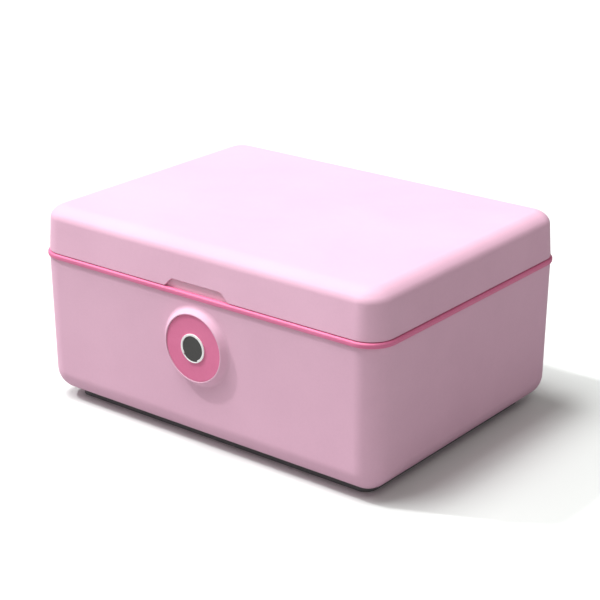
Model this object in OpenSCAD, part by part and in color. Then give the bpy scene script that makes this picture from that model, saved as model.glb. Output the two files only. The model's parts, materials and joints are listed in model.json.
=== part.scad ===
// Toy safe coin bank: a moulded box with a hinged lid, a trim band and a round turning lock.
// The floor is z = 0, x runs along the front from left to right, and the front faces -y.

/* [Box] */
// Length of the trim band, left to right
box_w = 200; // [170:1:240]
// Depth of the trim band, front to back
box_d = 150; // [130:1:180]
// Corner radius of the trim band, seen from above
corner_r = 13.2; // [12.5:0.1:15]
// How far the band stands out past the walls
overhang = 0.9; // [0.6:0.1:1.4]
// Wall thickness of both shells
wall = 2; // [1.6:0.1:2.2]

/* [Body] */
// Height of the body's top edge above the floor
body_top = 72.9; // [68:0.1:85]
// How much the walls close in from the top edge to the bottom rounding
body_draft = 0.8; // [0.4:0.1:1.2]

/* [Lid] */
// Height of the lid's lower edge above the floor minus the body's top edge
lid_lift = 2.75; // [2.75:0.05:3.2]
// Height of the lid
lid_h = 21.75; // [20:0.05:26]
// How much the lid's walls close in towards the top
lid_draft = 1.05; // [0.5:0.05:1.3]
// Width of the rounding along the lid's top edge
lid_round_w = 8.2; // [7:0.1:9]
// Height of the rounding along the lid's top edge
lid_round_h = 6.4; // [5:0.1:8]
// Depth of the step inside the lid's lower edge
rebate_h = 5.1; // [4.6:0.1:6]
// Thickness of the wall left by the step
rebate_wall = 1.1; // [1:0.05:1.2]

/* [Finger notch] */
// Width of the notch at the band
notch_w = 38; // [30:0.5:44]
// Width of the notch at its top
notch_top_w = 29; // [20:0.5:30]
// Height of the notch above the band
notch_h = 4.4; // [3:0.1:4.5]
// Radius of the notch's upper corners
notch_r = 2.5; // [1:0.1:3]

/* [Band and collar] */
// Height of the trim band
band_h = 2.4; // [2.2:0.05:2.4]
// Radius along the band's upper edge
band_top_r = 0.9; // [0.6:0.1:1.2]
// Radius along the band's lower edge
band_low_r = 0.6; // [0.4:0.1:1]
// Height of the collar above the body's top edge
collar_up = 7.75; // [7:0.05:7.75]
// Depth of the collar's skirt inside the body
collar_down = 4.5; // [3:0.1:5]
// Thickness of the collar above the body
collar_t = 2.45; // [2:0.05:2.6]

/* [Base plate] */
// Height of the base plate below the body
base_h = 3.5; // [3:0.1:4.5]
// How far the base plate stands in from the band
base_inset = 12; // [11:0.5:15]
// Corner radius of the base plate
base_corner = 6; // [4:0.5:10]

/* [Lock] */
// Height of the lock's axis above the floor
lock_z = 50.5; // [46:0.1:52]
// How far the boss's face lies in front of the box's middle
face_out = 76.9; // [76.8:0.1:78]
// Radius of the boss at its face
boss_r = 16.5; // [16.4:0.1:17.5]
// How far the boss's flank leans out towards the wall
boss_lean = 35; // [20:1:40]
// Radius of the blend between flank and wall
boss_blend = 2.5; // [1:0.1:3]
// Radius of the dial
dial_r = 15.8; // [14:0.1:15.8]
// How far the dial's face lies below the boss's rim
dial_sink = 0.4; // [0.3:0.1:0.5]
// Thickness of the dial
dial_t = 2.3; // [2:0.1:2.6]
// Outer radius of the ring round the plug
ring_r = 6.9; // [6.5:0.1:8]
// Inner radius of the ring
ring_bore = 5.8; // [5.5:0.1:6]
// How far the ring stands out from the dial
ring_h = 0.6; // [0.5:0.1:1.2]
// Angle of the stretch where the ring's lip is cut away
window_angle = 83; // [60:1:100]
// Angle of the plug's key in that stretch
key_angle = 66; // [50:1:76]
// Angle of the stretch's middle, clockwise from straight down
window_tilt = 14; // [-45:1:45]
// Reach of the cam's arm from the lock's axis
cam_reach = 19; // [16:0.5:20]
// Turn of the dial from unlocked to locked
dial_turn = 90; // [80:1:100]

/* [Coin slot] */
// Length of the coin slot in the back wall
slot_w = 36; // [30:1:44]
// Height of the coin slot
slot_h = 5; // [4.6:0.1:6]
// Height of the coin slot's middle above the floor
slot_z = 46; // [35:1:54]

/* [Hinges] */
// Distance of each hinge's middle from the box's middle
hinge_x = 55; // [45:1:70]
// Length of a hinge
hinge_w = 34; // [28:1:40]
// Radius of the hinge's knuckles
knuckle_r = 2.6; // [2.2:0.1:2.8]
// Radius of the hinge pin
pin_r = 1; // [0.8:0.1:1.2]
// Thickness of the hinge's leaves
leaf_t = 1; // [0.8:0.1:1.2]

/* [Hidden] */
$fn = 96;
eps = 0.01;        // overlap between pieces of one solid
fit = 0.05;        // running clearance on a radius
ease = 0.02;       // clearance between a screw and its hole

body_c = "#EEBED7";
hot_c = "#F185AF";
collar_c = "#D9B4C6";
ring_c = "#FAF8F9";
dark_c = "#3C3C3B";
base_c = "#4A4A4C";
steel_c = "#B9BCC0";
brass_c = "#C8A45A";

// Plan of the box: every wall runs round the same four corner centres
core_w = box_w - 2 * corner_r;
core_d = box_d - 2 * corner_r;
CORNERS = [[1, 1, 0], [-1, 1, 90], [-1, -1, 180], [1, -1, 270]];

// Radii from the corner centres, and heights
body_r = corner_r - overhang;
bottom_r = body_r - body_draft;
bottom_z = base_h + bottom_r;
lid_z = body_top + lid_lift;
lid_top = lid_z + lid_h;
lid_side_r = body_r - lid_draft;
lid_side_z = lid_top - lid_round_h;
rebate_r = body_r - rebate_wall;
collar_gap = 0.25;
collar_r = rebate_r - collar_gap;
collar_in_r = collar_r - collar_t;

// How far the walls' outer faces lie behind and in front of the box's middle
function body_y(z) = box_d / 2 - overhang - body_draft * (body_top - z) / (body_top - bottom_z);
function lid_y(z) = box_d / 2 - overhang - lid_draft * (z - lid_z) / (lid_side_z - lid_z);
body_tilt = atan(body_draft / (body_top - bottom_z));

// Lock, measured along y from the box's middle
face_y = -face_out;
boss_h = face_out - body_y(lock_z);
dial_y = face_y + dial_sink;
dial_back_y = dial_y + dial_t;
pocket_r = dial_r + 2 * fit;
pocket_y = dial_back_y + 0.2;
web_t = 1.9;
web_y = pocket_y + web_t;
boss_core_r = 15;
bush_r = 5;
bush_head_r = 7.5;
bush_head_t = 1.2;
nut_t = 3;
nut_flats = 14;
spindle_r = 3;
cam_y = -66;
cam_t = 2;
cam_w = 8;
cam_square = 4.2;
bush_end_y = cam_y - 1.1;
ring_front_y = dial_y - ring_h;
plug_y = ring_front_y + 0.2;
window_y = plug_y + 0.75;
plug_back_y = plug_y + 1.5;
ring_cut_r = (ring_r + ring_bore) / 2;
hub_back_y = dial_back_y - 0.05;
stop_path_r = 11.5;
stop_pin_r = 1;
washer_t = 0.8;
wave_t = 0.6;

// Keeper: a flat hook in the cam's plane, beside the arm
keeper_gap = 0.3;
keeper_leg_x = cam_reach + 1.4;
keeper_leg_w = 5;
keeper_foot_z = lock_z - cam_w / 2 - keeper_gap;
keeper_foot_t = 2.5;
keeper_foot_x = 11;
keeper_plate_z = [84, 92];
keeper_plate_x = [keeper_leg_x - 8, keeper_leg_x + 13];
keeper_screw_x = [keeper_plate_x[0] + 4, keeper_plate_x[1] - 4];
keeper_screw_z = 88;
keeper_post_r = 3.2;

// Hinge: its axis stands behind the back wall, level with the seam
leaf_y = body_y(body_top);
knuckle_gap = 0.2;
axis_y = leaf_y + knuckle_gap + knuckle_r;
axis_z = lid_z - 0.2;
knuckle_w = 9;
leaf_low_z = body_top - 13.5;
leaf_screw_x = 10;
body_leaf_screw_z = leaf_low_z + 4.5;
lid_leaf_z = axis_z + knuckle_r;
lid_leaf_top = lid_z + 13;
lid_leaf_screw_z = lid_leaf_z + 6.6;
pad_in_y = core_d / 2 + rebate_r + 0.03;
screw_r = 1.2;
screw_head_r = 2.4;
screw_head_t = 1.4;
screw_l = 5;
hinge_boss_r = 3;
hinge_boss_d = 3.5;

// Base screws
base_screw_x = core_w / 2 - 6;
base_screw_y = core_d / 2 - 6;
base_screw_r = 1.4;
base_screw_l = 10;
post_r = 4;
post_h = 12;

// Runs a wall's section round the box. The section's x is measured outward from the
// corner centres, and its y is the height.
module around() {
    for (c = CORNERS)
        translate([c[0] * core_w / 2, c[1] * core_d / 2, 0])
            rotate(c[2]) rotate_extrude(angle = 90) children();
    for (turn = [0, 180]) rotate(turn) {
        translate([core_w / 2, core_d / 2, 0])
            rotate([90, 0, 0]) linear_extrude(core_d) children();
        rotate(90) translate([core_d / 2, core_w / 2, 0])
            rotate([90, 0, 0]) linear_extrude(core_w) children();
    }
}

// Flat sheet that fills the space between the corner centres
module core_sheet(z, t) {
    translate([-core_w / 2, -core_d / 2, z]) cube([core_w, core_d, t]);
}

// Turns a shape drawn along +z so that it runs along +y, starting at y
module along_y(y, x = 0, z = 0) {
    translate([x, y, z]) rotate([-90, 0, 0]) children();
}

// Cylinder whose axis runs along +y from y0 to y1
module rod_y(r, y0, y1, x = 0, z = 0) {
    along_y(y0, x, z) cylinder(h = y1 - y0, r = r);
}

// Ring whose axis runs along +y from y0 to y1, at the lock
module lock_ring(r, bore, y0, y1) {
    difference() {
        rod_y(r, y0, y1, 0, lock_z);
        rod_y(bore, y0 - 1, y1 + 1, 0, lock_z);
    }
}

// Wedge of a full turn, seen from the front: middle measured clockwise from straight down
module lock_wedge(middle, angle, r, y0, y1) {
    along_y(y0, 0, lock_z) rotate(90 + middle - angle / 2)
        rotate_extrude(angle = angle) square([r, y1 - y0]);
}

module body_outline(t) {
    polygon([[0, bottom_z], [bottom_r - t, bottom_z], [body_r - t, body_top], [0, body_top]]);
    intersection() {
        translate([0, bottom_z]) circle(r = bottom_r - t);
        translate([0, base_h]) square([bottom_r, bottom_r]);
    }
}

module body_section() {
    difference() {
        body_outline(0);
        body_outline(wall);
        translate([0, body_top - eps]) square([body_r - wall, 1]);
    }
}

// Boss with a leaning flank and a blended root, square to the drafted front wall
module lock_boss() {
    root_r = boss_r + (boss_blend - (boss_blend - boss_h) * sin(boss_lean)) / cos(boss_lean);
    translate([0, -body_y(lock_z), lock_z]) rotate([90 + body_tilt, 0, 0])
        rotate_extrude() difference() {
            polygon([
                [0, -wall / 2], [root_r, -wall / 2], [root_r, 0],
                [root_r - boss_blend * cos(boss_lean), boss_blend * (1 - sin(boss_lean))],
                [boss_r, boss_h], [0, boss_h]
            ]);
            translate([root_r, boss_blend - eps]) circle(r = boss_blend);
        }
}

module slot_cutter() {
    along_y(body_y(slot_z) - wall - 2, 0, slot_z) linear_extrude(wall + 4) {
        square([slot_w - slot_h, slot_h], center = true);
        for (s = [-1, 1]) translate([s * (slot_w - slot_h) / 2, 0]) circle(d = slot_h);
    }
}

module body_shell() {
    color(body_c) difference() {
        union() {
            around() body_section();
            core_sheet(base_h, wall);
            lock_boss();
            for (x = [-1, 1], y = [-1, 1])
                translate([x * base_screw_x, y * base_screw_y, base_h + wall / 2])
                    cylinder(h = post_h, r = post_r);
            for (h = [-1, 1]) {
                // Flat pad that squares up the drafted wall under the hinge
                translate([h * hinge_x - hinge_w / 2, body_y(body_top) - wall / 2, leaf_low_z])
                    cube([hinge_w, wall / 2, body_top - leaf_low_z]);
                for (s = [-1, 1])
                    rod_y(hinge_boss_r, leaf_y - wall - hinge_boss_d, leaf_y - wall / 2,
                          h * hinge_x + s * leaf_screw_x, body_leaf_screw_z);
            }
        }
        rod_y(pocket_r, face_y - 1, pocket_y, 0, lock_z);
        rod_y(bush_head_r + fit, pocket_y - 1, pocket_y + bush_head_t, 0, lock_z);
        rod_y(bush_r + fit, pocket_y, web_y + 1, 0, lock_z);
        rod_y(boss_core_r, web_y, -body_y(lock_z) + wall + 1, 0, lock_z);
        slot_cutter();
        for (x = [-1, 1], y = [-1, 1])
            translate([x * base_screw_x, y * base_screw_y, 0])
                cylinder(h = base_screw_l + ease, r = base_screw_r + ease);
        for (h = [-1, 1], s = [-1, 1])
            rod_y(screw_r + ease, leaf_y + leaf_t - screw_l - ease, leaf_y + 1,
                  h * hinge_x + s * leaf_screw_x, body_leaf_screw_z);
    }
    // Pin that stops the dial at each end of its turn
    color(body_c) rod_y(stop_pin_r, pocket_y - 1.2, pocket_y + eps,
                        stop_path_r * sin(-45), lock_z + stop_path_r * cos(-45));
}

module rim_band() {
    inner = collar_r + fit;
    top = body_top + band_h;
    color(hot_c) difference() {
        around() {
            difference() {
                translate([inner, body_top]) square([corner_r - inner, band_h]);
                translate([corner_r - band_top_r, top - band_top_r]) square(band_top_r + 1);
                translate([corner_r - band_low_r, body_top - 1]) square([2, band_low_r + 1]);
            }
            translate([corner_r - band_top_r, top - band_top_r]) intersection() {
                circle(r = band_top_r);
                square(band_top_r);
            }
            translate([corner_r - band_low_r, body_top + band_low_r]) intersection() {
                circle(r = band_low_r);
                translate([0, -band_low_r]) square(band_low_r);
            }
        }
        for (h = [-1, 1])
            translate([h * hinge_x - hinge_w / 2 - 0.5, leaf_y - 0.1, body_top - 1])
                cube([hinge_w + 1, 5, band_h + 2]);
    }
}

module inner_collar() {
    skirt_r = body_r - wall - 0.1;
    color(collar_c) around() polygon([
        [collar_in_r, body_top - collar_down], [skirt_r, body_top - collar_down],
        [skirt_r, body_top], [collar_r, body_top], [collar_r, body_top + collar_up - 0.5],
        [collar_r - 0.5, body_top + collar_up], [collar_in_r + 0.5, body_top + collar_up],
        [collar_in_r, body_top + collar_up - 0.5]
    ]);
}

module base_plate() {
    w = box_w - 2 * base_inset;
    d = box_d - 2 * base_inset;
    color(base_c) difference() {
        linear_extrude(base_h) {
            square([w - 2 * base_corner, d], center = true);
            square([w, d - 2 * base_corner], center = true);
            for (x = [-1, 1], y = [-1, 1])
                translate([x * (w / 2 - base_corner), y * (d / 2 - base_corner)])
                    circle(r = base_corner);
        }
        for (x = [-1, 1], y = [-1, 1])
            translate([x * base_screw_x, y * base_screw_y, 0]) base_screw_shape(ease);
    }
}

// Countersunk screw, point up, with its head at z = 0.3
module base_screw_shape(grow = 0) {
    translate([0, 0, grow > 0 ? -1 : 0.3]) cylinder(h = grow > 0 ? 1.3 : eps, r = 3 + grow);
    translate([0, 0, 0.3]) cylinder(h = 1.6, r1 = 3 + grow, r2 = base_screw_r + grow);
    translate([0, 0, 0.3]) cylinder(h = base_screw_l - 0.3, r = base_screw_r + grow);
}

module base_screws() {
    color(steel_c) for (x = [-1, 1], y = [-1, 1])
        translate([x * base_screw_x, y * base_screw_y, 0]) difference() {
            base_screw_shape();
            cross_recess(0.3 - eps, 1.4, 2.6);
        }
}

// Cross-shaped recess for a screwdriver, cut upward from z
module cross_recess(z, depth, span) {
    for (a = [0, 90]) rotate(a)
        translate([-span / 2, -0.35, z]) cube([span, 0.7, depth]);
}

// Pan-head screw along +y, its head's underside at y
module pan_screw(x, y, z, side) {
    translate([x, y, z]) rotate([side > 0 ? -90 : 90, 0, 0]) difference() {
        union() {
            cylinder(h = screw_head_t, r = screw_head_r);
            translate([0, 0, -screw_l]) cylinder(h = screw_l + eps, r = screw_r);
        }
        cross_recess(screw_head_t - 0.8, 1, 2.6);
    }
}

// Quarter of an oval that starts level at its top and ends upright at its side, drawn as
// two arcs that meet smoothly. t insets it evenly.
module quarter_oval(w, h, t) {
    small = h * h / w;
    large = (w * w - 2 * w * small + h * h) / (2 * (h - small));
    reach = 2 * large;
    lean = atan2(large - h, w - small);
    intersection() {
        translate([0, h - large]) circle(r = large - t);
        polygon([[0, 0], [w - small, 0], [w - small + reach * cos(lean), reach * sin(lean)],
                 [0, reach]]);
    }
    intersection() {
        translate([w - small, 0]) circle(r = small - t);
        polygon([[w - small, 0], [w - small + reach * cos(lean), reach * sin(lean)], [reach * 2, 0]]);
    }
}

module lid_outline(t) {
    flat_r = lid_side_r - lid_round_w;
    polygon([[0, lid_z], [body_r - t, lid_z], [lid_side_r - t, lid_side_z], [0, lid_side_z]]);
    translate([0, lid_side_z]) square([flat_r, lid_round_h - t]);
    translate([flat_r, lid_side_z]) quarter_oval(lid_round_w, lid_round_h, t);
}

module lid_section() {
    difference() {
        lid_outline(0);
        lid_outline(wall);
        translate([0, lid_z - 1]) square([rebate_r, rebate_h + 1]);
    }
}

// The notch's sides run on below the lid's edge, so that only its upper corners are round
module notch_cutter() {
    deep = 8;
    low_w = notch_w + deep * (notch_w - notch_top_w) / notch_h;
    along_y(-box_d / 2 - 1, 0, body_top + band_h)
        mirror([0, 1, 0]) linear_extrude(overhang + 4)
            offset(r = notch_r) offset(delta = -notch_r)
                polygon([[-low_w / 2, -deep], [low_w / 2, -deep],
                         [notch_top_w / 2, notch_h], [-notch_top_w / 2, notch_h]]);
}

module lid_shell() {
    color(body_c) difference() {
        union() {
            around() lid_section();
            core_sheet(lid_top - wall, wall);
            for (x = keeper_screw_x)
                rod_y(keeper_post_r, -lid_y(keeper_screw_z) + wall / 2, cam_y, x, keeper_screw_z);
            for (h = [-1, 1]) {
                // Flat pad under the leaf, clear of the step that the collar stands in
                translate([h * hinge_x - hinge_w / 2, pad_in_y, lid_leaf_z])
                    cube([hinge_w, leaf_y - pad_in_y, lid_leaf_top - lid_leaf_z]);
                for (s = [-1, 1])
                    rod_y(hinge_boss_r, leaf_y - wall - hinge_boss_d,
                          lid_y(lid_leaf_screw_z) - wall / 2,
                          h * hinge_x + s * leaf_screw_x, lid_leaf_screw_z);
            }
        }
        notch_cutter();
        for (x = keeper_screw_x)
            rod_y(screw_r + ease, cam_y + cam_t - screw_l - ease, cam_y + 1, x, keeper_screw_z);
        for (h = [-1, 1], s = [-1, 1])
            rod_y(screw_r + ease, leaf_y + leaf_t - screw_l - ease, leaf_y + 1,
                  h * hinge_x + s * leaf_screw_x, lid_leaf_screw_z);
    }
}

module lid_keeper() {
    color(steel_c) difference() {
        along_y(cam_y) mirror([0, 1, 0]) linear_extrude(cam_t) {
            translate([keeper_plate_x[0], keeper_plate_z[0]])
                square([keeper_plate_x[1] - keeper_plate_x[0], keeper_plate_z[1] - keeper_plate_z[0]]);
            translate([keeper_leg_x, keeper_foot_z - keeper_foot_t])
                square([keeper_leg_w, keeper_plate_z[0] - keeper_foot_z + keeper_foot_t + eps]);
            translate([keeper_foot_x, keeper_foot_z - keeper_foot_t])
                square([keeper_leg_x - keeper_foot_x + eps, keeper_foot_t]);
        }
        for (x = keeper_screw_x)
            rod_y(screw_r + ease, cam_y - 1, cam_y + cam_t + 1, x, keeper_screw_z);
    }
}

module keeper_screws() {
    color(steel_c) for (x = keeper_screw_x) pan_screw(x, cam_y + cam_t, keeper_screw_z, 1);
}

module dial_face() {
    color(hot_c) difference() {
        rod_y(dial_r, dial_y, dial_back_y, 0, lock_z);
        rod_y(ring_cut_r, dial_y - 1, dial_back_y + 1, 0, lock_z);
        // Groove for the stop pin, which turning the dial carries from one end to the other
        along_y(dial_back_y - 1.3, 0, lock_z) rotate(-135 - dial_turn - 7)
            rotate_extrude(angle = dial_turn + 14)
                translate([stop_path_r - stop_pin_r - 0.3, 0]) square([2 * stop_pin_r + 0.6, 2]);
    }
}

module dial_ring() {
    color(ring_c) difference() {
        union() {
            lock_ring(ring_r, ring_bore, ring_front_y, dial_y);
            lock_ring(ring_cut_r - fit, ring_bore, dial_y - eps, dial_back_y - 0.4);
        }
        lock_wedge(window_tilt, window_angle, ring_cut_r, ring_front_y - 1, window_y);
    }
}

module dial_plug() {
    color(dark_c) {
        rod_y(ring_bore - 0.1, plug_y, plug_back_y, 0, lock_z);
        lock_wedge(window_tilt, key_angle, ring_cut_r - 0.1, plug_y, window_y - 0.05);
    }
}

module lock_spindle() {
    color(brass_c) difference() {
        union() {
            rod_y(ring_bore - fit, plug_back_y, hub_back_y, 0, lock_z);
            rod_y(spindle_r, hub_back_y - eps, cam_y - 0.1, 0, lock_z);
            translate([-cam_square / 2, cam_y - 0.2, lock_z - cam_square / 2])
                cube([cam_square, cam_t + 0.1, cam_square]);
        }
        rod_y(screw_r + ease, cam_y + cam_t - screw_l, cam_y + cam_t + 1, 0, lock_z);
    }
}

module lock_bush() {
    color(brass_c) {
        lock_ring(bush_head_r, spindle_r + fit, pocket_y + 0.05, pocket_y + bush_head_t);
        lock_ring(bush_r, spindle_r + fit, pocket_y + bush_head_t - eps, bush_end_y);
    }
}

module lock_nut() {
    color(steel_c) difference() {
        along_y(web_y, 0, lock_z) cylinder(h = nut_t, r = nut_flats / sqrt(3), $fn = 6);
        rod_y(bush_r + ease, web_y - 1, web_y + nut_t + 1, 0, lock_z);
    }
}

module wave_washer() {
    color(steel_c) lock_ring(bush_r, spindle_r + fit, bush_end_y + 0.25, bush_end_y + 0.25 + wave_t);
}

module lock_cam() {
    color(steel_c) difference() {
        union() {
            rod_y(cam_w / 2 + 1, cam_y, cam_y + cam_t, 0, lock_z);
            translate([-cam_w / 2, cam_y, lock_z]) cube([cam_w, cam_t, cam_reach]);
        }
        translate([-cam_square / 2 - fit, cam_y - 1, lock_z - cam_square / 2 - fit])
            cube([cam_square + 2 * fit, cam_t + 2, cam_square + 2 * fit]);
    }
}

module cam_washer() {
    color(steel_c) lock_ring(4.2, screw_r + ease, cam_y + cam_t, cam_y + cam_t + washer_t);
}

module cam_screw() {
    color(steel_c) pan_screw(0, cam_y + cam_t + washer_t, lock_z, 1);
}

// Leaf of the body: two outer knuckles on a plate below the axis
module body_leaf(side) {
    x = side * hinge_x;
    color(steel_c) difference() {
        union() {
            translate([x - hinge_w / 2, leaf_y, leaf_low_z])
                cube([hinge_w, leaf_t, axis_z - knuckle_r - 0.3 - leaf_low_z]);
            for (s = [-1, 1]) {
                x0 = x + s * (hinge_w - knuckle_w) / 2 - knuckle_w / 2;
                translate([x0, leaf_y, leaf_low_z + 1])
                    cube([knuckle_w, leaf_t, axis_z - leaf_low_z - 1]);
                translate([x0, axis_y, axis_z]) rotate([0, 90, 0])
                    cylinder(h = knuckle_w, r = knuckle_r);
            }
        }
        pin_bore(x, ease / 2);
        for (s = [-1, 1])
            rod_y(screw_r + ease, leaf_y - 1, leaf_y + leaf_t + 1,
                  x + s * leaf_screw_x, body_leaf_screw_z);
    }
}

// Leaf of the lid: one knuckle between the body's two, on a plate above the axis
module lid_leaf(side) {
    x = side * hinge_x;
    w = hinge_w - 2 * knuckle_w - 0.6;
    color(steel_c) difference() {
        union() {
            translate([x - hinge_w / 2, leaf_y, lid_leaf_z])
                cube([hinge_w, leaf_t, lid_leaf_top - lid_leaf_z]);
            translate([x - w / 2, leaf_y, axis_z]) cube([w, leaf_t, lid_leaf_z - axis_z + 1]);
            translate([x - w / 2, axis_y, axis_z]) rotate([0, 90, 0])
                cylinder(h = w, r = knuckle_r);
        }
        pin_bore(x, fit);
        for (s = [-1, 1])
            rod_y(screw_r + ease, leaf_y - 1, leaf_y + leaf_t + 1,
                  x + s * leaf_screw_x, lid_leaf_screw_z);
    }
}

module pin_bore(x, grow) {
    translate([x - hinge_w / 2 - 1, axis_y, axis_z]) rotate([0, 90, 0])
        cylinder(h = hinge_w + 2, r = pin_r + grow);
}

module hinge_pin(side) {
    color(steel_c) translate([side * hinge_x - hinge_w / 2, axis_y, axis_z]) rotate([0, 90, 0])
        cylinder(h = hinge_w, r = pin_r);
}

module leaf_screws(z) {
    color(steel_c) for (h = [-1, 1], s = [-1, 1])
        pan_screw(h * hinge_x + s * leaf_screw_x, leaf_y + leaf_t, z, 1);
}

body_shell();
rim_band();
inner_collar();
base_plate();
base_screws();
lid_shell();
lid_keeper();
keeper_screws();
dial_face();
dial_ring();
dial_plug();
lock_spindle();
lock_bush();
lock_nut();
wave_washer();
lock_cam();
cam_washer();
cam_screw();
body_leaf(-1);  // body_leaf_left
body_leaf(1);  // body_leaf_right
lid_leaf(-1);  // lid_leaf_left
lid_leaf(1);  // lid_leaf_right
hinge_pin(-1);  // hinge_pin_left
hinge_pin(1);  // hinge_pin_right
leaf_screws(body_leaf_screw_z);  // body_leaf_screws
leaf_screws(lid_leaf_screw_z);  // lid_leaf_screws
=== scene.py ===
import json
import math

import bpy
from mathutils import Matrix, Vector


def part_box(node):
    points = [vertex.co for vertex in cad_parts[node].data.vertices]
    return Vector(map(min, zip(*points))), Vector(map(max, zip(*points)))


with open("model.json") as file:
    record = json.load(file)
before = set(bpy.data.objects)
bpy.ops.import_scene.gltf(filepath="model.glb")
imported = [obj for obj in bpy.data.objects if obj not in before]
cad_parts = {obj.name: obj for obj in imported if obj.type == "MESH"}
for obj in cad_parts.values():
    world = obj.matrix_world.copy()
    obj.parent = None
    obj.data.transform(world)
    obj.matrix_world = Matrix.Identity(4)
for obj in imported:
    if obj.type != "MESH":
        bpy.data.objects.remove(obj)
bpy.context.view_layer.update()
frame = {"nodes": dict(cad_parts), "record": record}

MM = 0.001

# ---------------------------------------------------------------- view
AZIMUTH = math.radians(38.17)
ELEVATION = math.radians(21.01)
DISTANCE = 0.8171
LENS_MM = 102.2
SENSOR_MM = 36
AIM = Vector((0.0007, 0.0, 0.0507))


def make_camera():
    """Looks at AIM from DISTANCE metres away, at the angles above."""
    back = Vector((
        math.sin(AZIMUTH) * math.cos(ELEVATION),
        -math.cos(AZIMUTH) * math.cos(ELEVATION),
        math.sin(ELEVATION),
    ))
    data = bpy.data.cameras.new("camera")
    data.lens = LENS_MM
    data.sensor_width = SENSOR_MM
    camera = bpy.data.objects.new("camera", data)
    camera.location = AIM + back * DISTANCE
    camera.rotation_euler = back.to_track_quat("Z", "Y").to_euler()
    bpy.context.scene.collection.objects.link(camera)
    bpy.context.scene.camera = camera


# ---------------------------------------------------------------- material building blocks
class Finish:
    """A Principled material with short helpers for its node tree."""

    def __init__(self, name):
        self.material = bpy.data.materials.new(name)
        self.material.use_nodes = True
        self.tree = self.material.node_tree
        self.shader = self.tree.nodes["Principled BSDF"]
        self.place = self.node("ShaderNodeTexCoord").outputs["Object"]

    def node(self, kind, **settings):
        made = self.tree.nodes.new(kind)
        for key, value in settings.items():
            setattr(made, key, value)
        return made

    def link(self, out, into):
        self.tree.links.new(out, into)

    def shifted(self, origin=(0, 0, 0), scale=(1, 1, 1)):
        """The place measured from origin, and stretched by scale along each axis."""
        mapping = self.node("ShaderNodeMapping", vector_type="POINT")
        mapping.inputs["Location"].default_value = [-o * s for o, s in zip(origin, scale)]
        mapping.inputs["Scale"].default_value = scale
        self.link(self.place, mapping.inputs["Vector"])
        return mapping.outputs["Vector"]

    def noise(self, size_mm, detail, vector=None, distortion=0.0):
        """Noise from 0 to 1 in blotches about size_mm across."""
        made = self.node("ShaderNodeTexNoise")
        made.inputs["Scale"].default_value = 1 / (size_mm * MM)
        made.inputs["Detail"].default_value = detail
        made.inputs["Distortion"].default_value = distortion
        self.link(vector or self.place, made.inputs["Vector"])
        return made.outputs["Fac"]

    def spread(self, value, low, high, start=0.0, end=1.0):
        """Maps value from start..end to low..high, and no further."""
        made = self.node("ShaderNodeMapRange")
        made.inputs["From Min"].default_value = start
        made.inputs["From Max"].default_value = end
        made.inputs["To Min"].default_value = low
        made.inputs["To Max"].default_value = high
        self.link(value, made.inputs["Value"])
        return made.outputs["Result"]

    def combine(self, operation, first, second):
        """Puts two values together, each a socket or a plain number."""
        made = self.node("ShaderNodeMath", operation=operation)
        for socket, value in zip(made.inputs, (first, second)):
            if isinstance(value, float):
                socket.default_value = value
            else:
                self.link(value, socket)
        return made.outputs["Value"]

    def blend(self, factor, first, second):
        """Goes from the first colour to the second, each a socket or a plain colour."""
        made = self.node("ShaderNodeMix", data_type="RGBA")
        self.link(factor, made.inputs["Factor"])
        for key, value in (("A", first), ("B", second)):
            if isinstance(value, tuple):
                made.inputs[key].default_value = (*value, 1)
            else:
                self.link(value, made.inputs[key])
        return made.outputs["Result"]

    def edges(self, width_mm):
        """Rises from 0 on open surfaces towards 1 along sharp edges."""
        soft = self.node("ShaderNodeBevel", samples=6)
        soft.inputs["Radius"].default_value = width_mm * MM
        dot = self.node("ShaderNodeVectorMath", operation="DOT_PRODUCT")
        self.link(soft.outputs["Normal"], dot.inputs[0])
        self.link(self.node("ShaderNodeNewGeometry").outputs["Normal"], dot.inputs[1])
        return self.spread(dot.outputs["Value"], low=1.0, high=0.0, start=0.75, end=0.98)

    def bump(self, *layers):
        """Adds up height layers, each a (value, depth in mm) pair."""
        normal = None
        for value, depth_mm in layers:
            made = self.node("ShaderNodeBump")
            made.inputs["Distance"].default_value = depth_mm * MM
            self.link(value, made.inputs["Height"])
            if normal:
                self.link(normal, made.inputs["Normal"])
            normal = made.outputs["Normal"]
        self.link(normal, self.shader.inputs["Normal"])

    def set(self, **values):
        """Sets the shader's inputs, named in lower case, to a number, a colour or a socket."""
        for key, value in values.items():
            socket = self.shader.inputs[key.replace("_", " ").title().replace("Ior", "IOR")]
            if isinstance(value, (float, int)):
                socket.default_value = value
            elif isinstance(value, tuple):
                socket.default_value = (*value, 1)
            else:
                self.link(value, socket)


# ---------------------------------------------------------------- plastics
CLOUD_MM = 38
FLECK_MM = 1.1
SCUFF_MM = 6
SMEAR_MM = 9
RIPPLE_MM = 16
# Width of the lighter rubbed edges: edge wear and a painted highlight along sharp edges.
WORN_AND_HIGHLIT_EDGE_MM = 0.5
COAT_ROUGHNESS = 0.25


def clouded(f, low, high):
    """Pigment that drifts from low to high in wide clouds, with fine flecks on top."""
    clouds = f.spread(f.noise(CLOUD_MM, detail=4, distortion=0.4), low=0.0, high=0.7, start=0.3, end=0.7)
    flecks = f.spread(f.noise(FLECK_MM, detail=5), low=0.0, high=0.3, start=0.3, end=0.7)
    return f.blend(f.combine("ADD", clouds, flecks), low, high)


def scuffs_and_edge_highlight(f):
    """Rubbed patches along the sharp edges, both edge wear and a painted highlight on those edges."""
    patches = f.spread(f.noise(SCUFF_MM, detail=6), low=0.0, high=1.0, start=0.42, end=0.62)
    return f.combine("MULTIPLY", f.edges(WORN_AND_HIGHLIT_EDGE_MM), patches)


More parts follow.
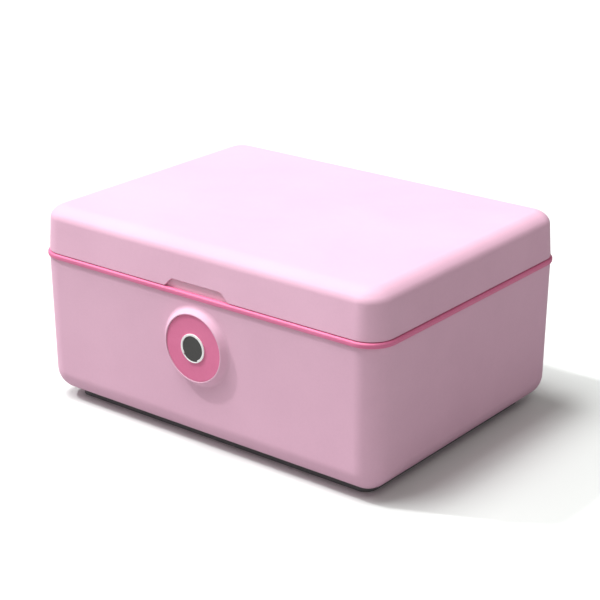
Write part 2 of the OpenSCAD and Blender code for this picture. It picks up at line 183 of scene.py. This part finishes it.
def plastic(name, low, high, worn_and_highlit, roughness, grain_mm=0.35, grain_depth=0.007,
            ripple_depth=0.03, specular=0.5, coat=0.0):
    """Moulded plastic: clouded pigment, fine mould grain, slow ripple, and rubbed patches on lighter edges
    that are both edge wear and a painted edge highlight.
    """
    f = Finish(name)
    scuffed_and_highlit = scuffs_and_edge_highlight(f)
    # Lighter colour along sharp edges: partly edge wear, partly a painted highlight.
    f.set(base_color=f.blend(f.combine("MULTIPLY", scuffed_and_highlit, 0.6), clouded(f, low, high), worn_and_highlit))
    smear = f.spread(f.noise(SMEAR_MM, detail=5, distortion=1.0), low=-0.05, high=0.05, start=0.3, end=0.7)
    smeared = f.combine("ADD", smear, roughness)
    f.set(roughness=f.combine("ADD", smeared, f.combine("MULTIPLY", scuffed_and_highlit, 0.12)))
    f.set(specular_ior_level=specular, coat_weight=coat, coat_roughness=COAT_ROUGHNESS)
    ripple = f.noise(RIPPLE_MM, detail=2)
    grain = f.noise(grain_mm, detail=2)
    f.bump((ripple, ripple_depth), (grain, grain_depth))
    return f.material


# Each finish's lighter wear colour also serves as a painted highlight along its sharp edges.
def shell_pink():
    return plastic("shell_pink", low=(0.825, 0.50, 0.65), high=(0.885, 0.545, 0.70),
                   worn_and_highlit=(0.93, 0.66, 0.78), roughness=0.56, specular=0.22)


def hot_pink():
    return plastic("hot_pink", low=(0.79, 0.18, 0.355), high=(0.85, 0.22, 0.41),
                   worn_and_highlit=(0.93, 0.42, 0.58), roughness=0.46, grain_mm=0.3, grain_depth=0.003,
                   ripple_depth=0.012, specular=0.4)


def collar_pink():
    return plastic("collar_pink", low=(0.83, 0.51, 0.64), high=(0.87, 0.55, 0.68),
                   worn_and_highlit=(0.93, 0.68, 0.78), roughness=0.5)


def ring_white():
    return plastic("ring_white", low=(0.94, 0.94, 0.94), high=(0.97, 0.97, 0.97),
                   worn_and_highlit=(0.99, 0.99, 0.99), roughness=0.3, grain_depth=0.002,
                   ripple_depth=0.005, coat=0.3)


def plug_dark():
    return plastic("plug_dark", low=(0.045, 0.046, 0.044), high=(0.062, 0.062, 0.06),
                   worn_and_highlit=(0.13, 0.13, 0.13), roughness=0.5, grain_mm=0.25, grain_depth=0.006)


def base_grey():
    return plastic("base_grey", low=(0.16, 0.165, 0.17), high=(0.205, 0.21, 0.215),
                   worn_and_highlit=(0.32, 0.325, 0.33), roughness=0.5, grain_mm=0.6, grain_depth=0.012)


# ---------------------------------------------------------------- metals
ROLL_MM = 0.5
ROLL_STRETCH = (0.06, 1, 1)
SPANGLE_MM = 1.6
DULL_MM = 5
DIMPLE_MM = 2.5
RING_MM = 1.1
TARNISH_MM = 3


def steel():
    """Zinc-plated steel: rolled along x, with faint spangle, dull clouds and brighter rubbed edges."""
    f = Finish("steel")
    rolled = f.noise(ROLL_MM, detail=3, vector=f.shifted(scale=ROLL_STRETCH))
    spangle = f.node("ShaderNodeTexVoronoi", feature="F1")
    spangle.inputs["Scale"].default_value = 1 / (SPANGLE_MM * MM)
    f.link(f.place, spangle.inputs["Vector"])
    flakes = f.spread(spangle.outputs["Color"], low=0.0, high=1.0)
    dull = f.spread(f.noise(DULL_MM, detail=5), low=0.0, high=0.5, start=0.45, end=0.75)
    tone = f.blend(flakes, (0.46, 0.47, 0.49), (0.60, 0.61, 0.62))
    tone = f.blend(dull, tone, (0.40, 0.39, 0.38))
    f.set(base_color=f.blend(f.edges(0.35), tone, (0.78, 0.78, 0.77)), metallic=1.0)
    streaks = f.spread(rolled, low=-0.08, high=0.1)
    f.set(roughness=f.combine("ADD", streaks, f.spread(dull, low=0.3, high=0.42, end=0.5)))
    f.bump((f.noise(DIMPLE_MM, detail=3), 0.006), (rolled, 0.004))
    return f.material


def brass():
    """Brass turned about the lock's axis: fine rings, tarnish in clouds, bright edges."""
    low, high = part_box("dial_face")
    lock_axis = (0, 0, (low.z + high.z) / 2)
    f = Finish("brass")
    rings = f.node("ShaderNodeTexWave", wave_type="RINGS", rings_direction="Y")
    rings.inputs["Scale"].default_value = 1 / (RING_MM * MM)
    rings.inputs["Distortion"].default_value = 0.4
    f.link(f.shifted(origin=lock_axis), rings.inputs["Vector"])
    tarnish = f.spread(f.noise(TARNISH_MM, detail=5), low=0.0, high=0.8, start=0.45, end=0.7)
    tone = f.blend(tarnish, (0.80, 0.60, 0.27), (0.52, 0.36, 0.15))
    f.set(base_color=f.blend(f.edges(0.3), tone, (0.92, 0.76, 0.45)), metallic=1.0)
    grooves = f.spread(rings.outputs["Fac"], low=-0.04, high=0.06)
    f.set(roughness=f.combine("ADD", grooves, f.spread(tarnish, low=0.22, high=0.42, end=0.8)))
    f.bump((rings.outputs["Fac"], 0.003))
    return f.material


SLOTS = {
    "shell_pink": shell_pink(),
    "hot_pink": hot_pink(),
    "collar_pink": collar_pink(),
    "ring_white": ring_white(),
    "plug_dark": plug_dark(),
    "base_grey": base_grey(),
    "steel": steel(),
    "brass": brass(),
}

# ---------------------------------------------------------------- edges of the carried-over pieces
# Node, or the start of several nodes' names, and the width of its edge rounding in mm
EDGE_MM = {
    "body_shell": 0.22,
    "lid_shell": 0.25,
    "rim_band": 0.12,
    "inner_collar": 0.3,
    "base_plate": 0.14,
    "base_screws": 0.1,
    "dial_face": 0.22,
    "dial_ring": 0.18,
    "dial_plug": 0.12,
    "lock_spindle": 0.15,
    "lock_bush": 0.2,
    "lock_nut": 0.25,
    "wave_washer": 0.1,
    "lock_cam": 0.25,
    "cam_washer": 0.15,
    "cam_screw": 0.1,
    "keeper_screws": 0.1,
    "lid_keeper": 0.25,
    "body_leaf_screws": 0.1,
    "lid_leaf_screws": 0.1,
    "body_leaf": 0.15,
    "lid_leaf": 0.15,
    "hinge_pin": 0.3,
}
WELD_MM = 0.002
FLAT_ANGLE = math.radians(0.3)
SHARP_ANGLE = math.radians(28)


def edge_width(node):
    """The node's own width in mm, or else that of the first listed name it starts with."""
    return EDGE_MM.get(node) or EDGE_MM[next(key for key in EDGE_MM if node.startswith(key))]


def round_edges(piece, width_mm):
    """Joins the mesh's split faces, melts flat ones together and rounds every sharp edge."""
    weld = piece.modifiers.new("weld", "WELD")
    weld.merge_threshold = WELD_MM * MM
    melt = piece.modifiers.new("melt", "DECIMATE")
    melt.decimate_type = "DISSOLVE"
    melt.angle_limit = FLAT_ANGLE
    bevel = piece.modifiers.new("bevel", "BEVEL")
    bevel.width = width_mm * MM
    bevel.segments = 3
    bevel.limit_method = "ANGLE"
    bevel.angle_limit = SHARP_ANGLE
    bevel.use_clamp_overlap = False
    bevel.miter_outer = "MITER_ARC"
    shade = piece.modifiers.new("shade", "WEIGHTED_NORMAL")
    shade.mode = "FACE_AREA"
    shade.weight = 50
    shade.keep_sharp = False
    for face in piece.data.polygons:
        face.use_smooth = True


def dress_nodes():
    """Gives every node the material of its slot and its rounded edges."""
    for part in frame["record"]["subparts"]:
        piece = frame["nodes"][part["node"]]
        piece.data.materials.clear()
        piece.data.materials.append(SLOTS[part["material_slot"]])
        round_edges(piece, edge_width(part["node"]))


# ---------------------------------------------------------------- setting
FLOOR_HALF = 1.8
FLOOR_BOUNCE = (0.42, 0.42, 0.42)
FLOOR_SEEN = (0.82, 0.85, 0.835)
FLOOR_ROUGHNESS = 0.6
GLOW_COLOUR = (1, 0.99, 0.965)
GLOW_STRENGTH = 0.24
WHITE = (1, 1, 1)
CREAM = (1, 0.98, 0.92)

LAMP_DISTANCE = 5.0
# Name, direction of its light, diameter in m, power in W and colour of each lamp
LAMPS = (
    ("key", (7.4, 3.6, -10), 0.25, 108, WHITE),
    ("front", (0.4, 0.5, -1), 3.0, 62, WHITE),
    ("side", (1, 0.3, -0.5), 2.5, 20, WHITE),
    ("upper_left", (0.3, 0.05, -1), 1.5, 70, WHITE),
    ("upper_near", (0.15, 0.05, -1), 1.2, 56, WHITE),
    ("upper_right", (-0.6, 0.3, -1), 2.0, 26, CREAM),
    ("steep", (0.2, 0.27, -1), 1.6, 60, WHITE),
)


def make_floor():
    """A plain floor, which the camera sees paler than the light that bounces off it."""
    h = FLOOR_HALF
    mesh = bpy.data.meshes.new("floor")
    mesh.from_pydata([(-h, -h, 0), (h, -h, 0), (h, h, 0), (-h, h, 0)], [], [(0, 1, 2, 3)])
    floor = bpy.data.objects.new("floor", mesh)
    bpy.context.scene.collection.objects.link(floor)
    f = Finish("floor")
    seen = f.node("ShaderNodeLightPath").outputs["Is Camera Ray"]
    f.set(base_color=f.blend(seen, FLOOR_BOUNCE, FLOOR_SEEN), roughness=FLOOR_ROUGHNESS)
    mesh.materials.append(f.material)


def make_lamp(name, toward, size, power, colour):
    """A round lamp that shines along toward onto the middle of the object."""
    data = bpy.data.lights.new(name, "AREA")
    data.shape = "DISK"
    data.size = size
    data.energy = power
    data.color = colour
    lamp = bpy.data.objects.new(name, data)
    direction = Vector(toward).normalized()
    lamp.location = AIM - direction * LAMP_DISTANCE
    lamp.rotation_euler = (-direction).to_track_quat("Z", "Y").to_euler()
    bpy.context.scene.collection.objects.link(lamp)


def make_lights():
    """Most of the light comes from above and is soft; the crisp part comes from front left."""
    for lamp in LAMPS:
        make_lamp(*lamp)


def make_world():
    """A faint glow from all round, which the camera sees as plain white."""
    world = bpy.data.worlds.new("world")
    world.use_nodes = True
    tree = world.node_tree
    glow = tree.nodes["Background"]
    glow.inputs["Color"].default_value = (*GLOW_COLOUR, 1)
    glow.inputs["Strength"].default_value = GLOW_STRENGTH
    seen = tree.nodes.new("ShaderNodeBackground")
    seen.inputs["Color"].default_value = (*WHITE, 1)
    pick = tree.nodes.new("ShaderNodeMixShader")
    tree.links.new(tree.nodes.new("ShaderNodeLightPath").outputs["Is Camera Ray"], pick.inputs[0])
    tree.links.new(glow.outputs[0], pick.inputs[1])
    tree.links.new(seen.outputs[0], pick.inputs[2])
    tree.links.new(pick.outputs[0], tree.nodes["World Output"].inputs["Surface"])
    bpy.context.scene.world = world
    bpy.context.scene.view_settings.view_transform = "Standard"


make_camera()
dress_nodes()
make_floor()
make_lights()
make_world()
